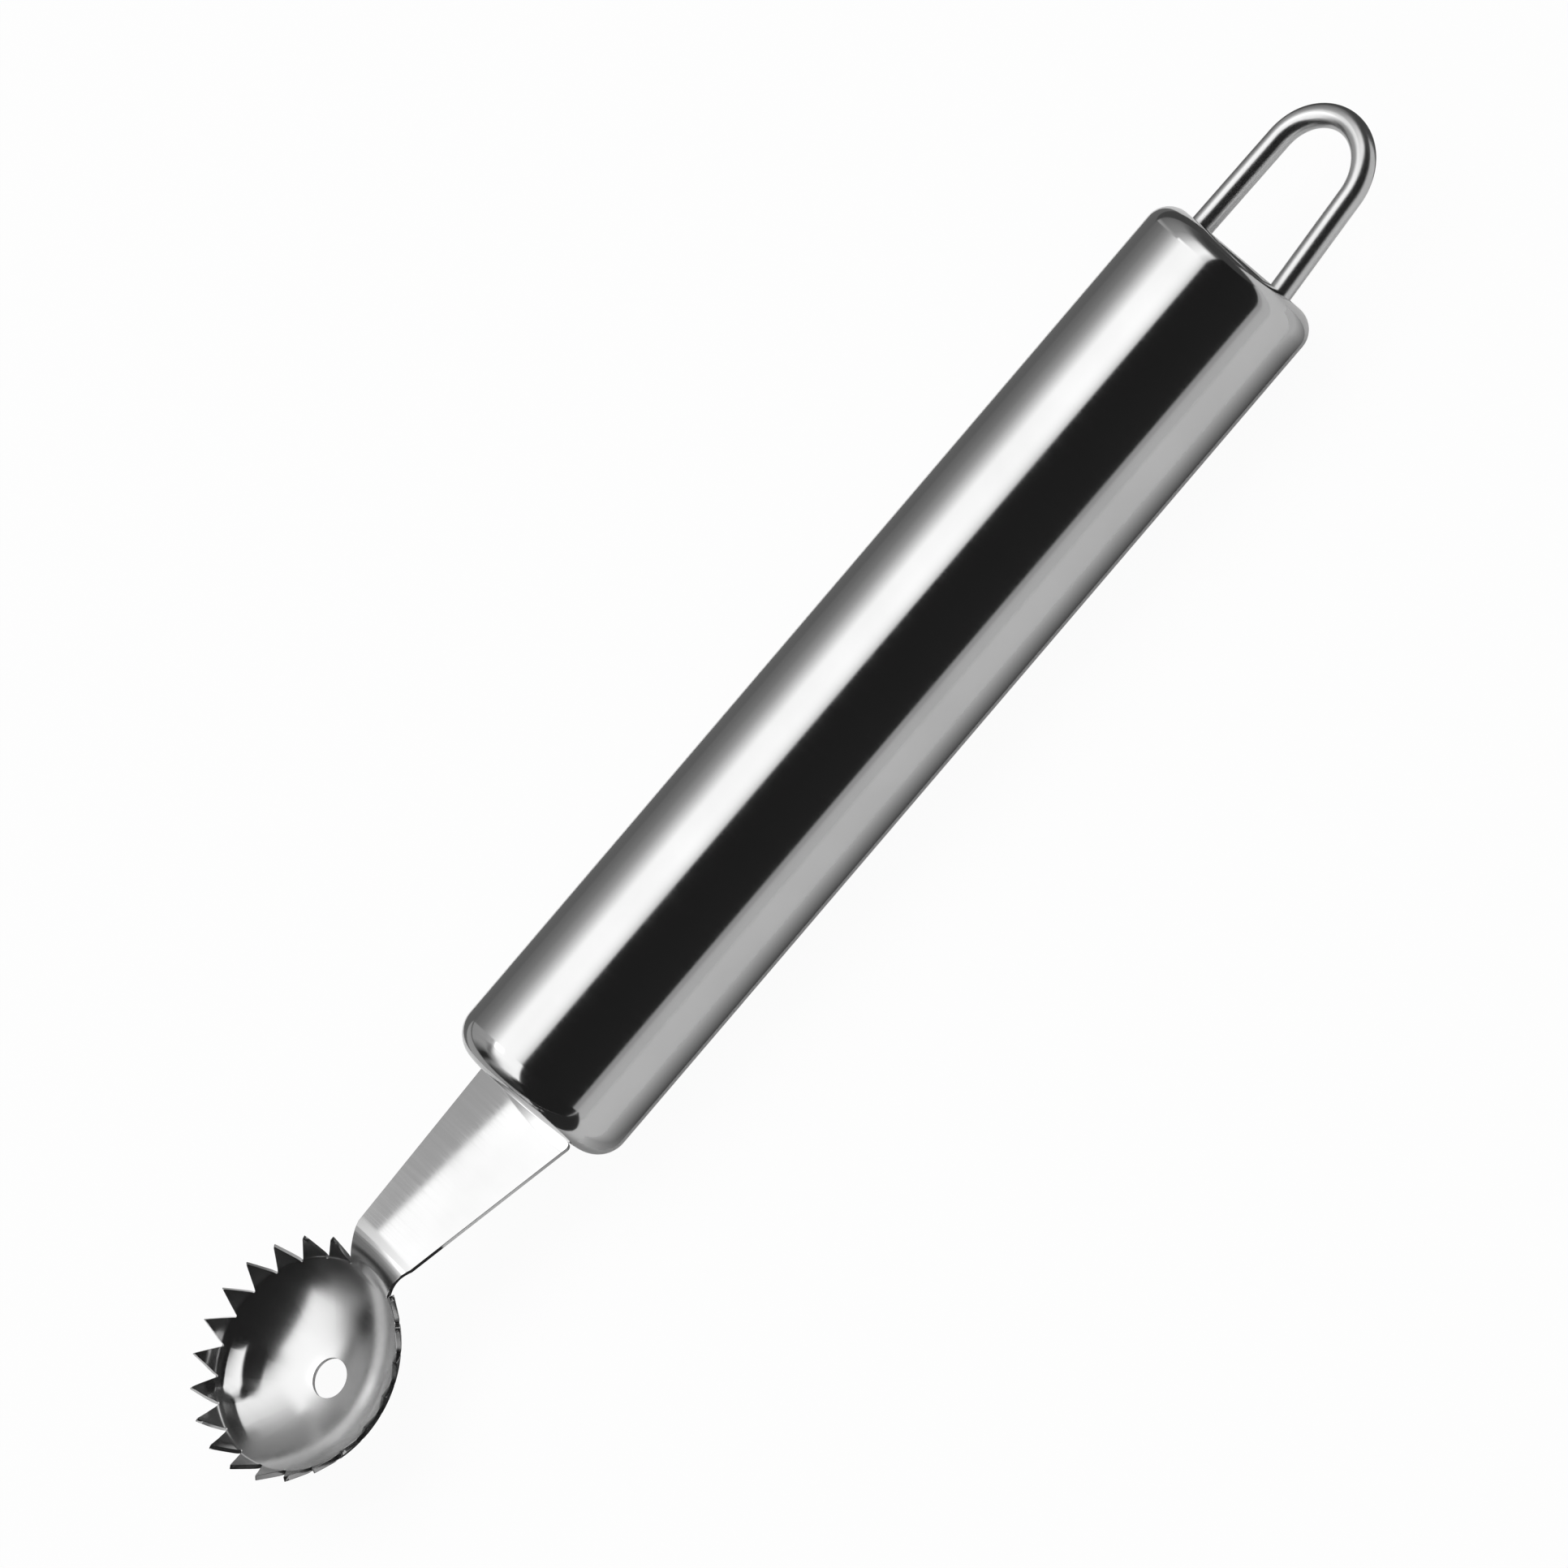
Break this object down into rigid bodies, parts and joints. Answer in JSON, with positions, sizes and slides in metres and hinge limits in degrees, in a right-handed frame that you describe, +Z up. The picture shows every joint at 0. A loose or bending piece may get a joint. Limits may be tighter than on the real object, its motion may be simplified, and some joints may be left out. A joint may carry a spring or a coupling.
{
  "type": "strawberry huller",
  "caption": "Polished steel strawberry huller: round hollow handle, a toothed scoop with a drain hole on a tapered neck at one end, and a wire hanging loop at the other.",
  "frame": {"origin": "on the surface that the tool lies on, under the middle of its bounding box", "axes": "+X along the handle from the scoop to the hanging loop, +Y across the handle, +Z up out of the mouth of the scoop"},
  "size_m": [0.1742, 0.0254, 0.02],
  "materials": {
    "polished_steel": "stainless steel polished to a mirror",
    "weld_metal": "stainless weld metal left as welded"
  },
  "bodies": {
    "root": {"handle_tube": "polished_steel", "front_cap": "polished_steel", "rear_cap": "polished_steel", "scoop": "polished_steel", "hanging_loop": "polished_steel", "front_seam_weld": "polished_steel", "rear_seam_weld": "polished_steel", "tang_weld_upper": "weld_metal", "tang_weld_lower": "weld_metal", "loop_weld_left": "weld_metal", "loop_weld_right": "weld_metal"}
  },
  "joints": []
}
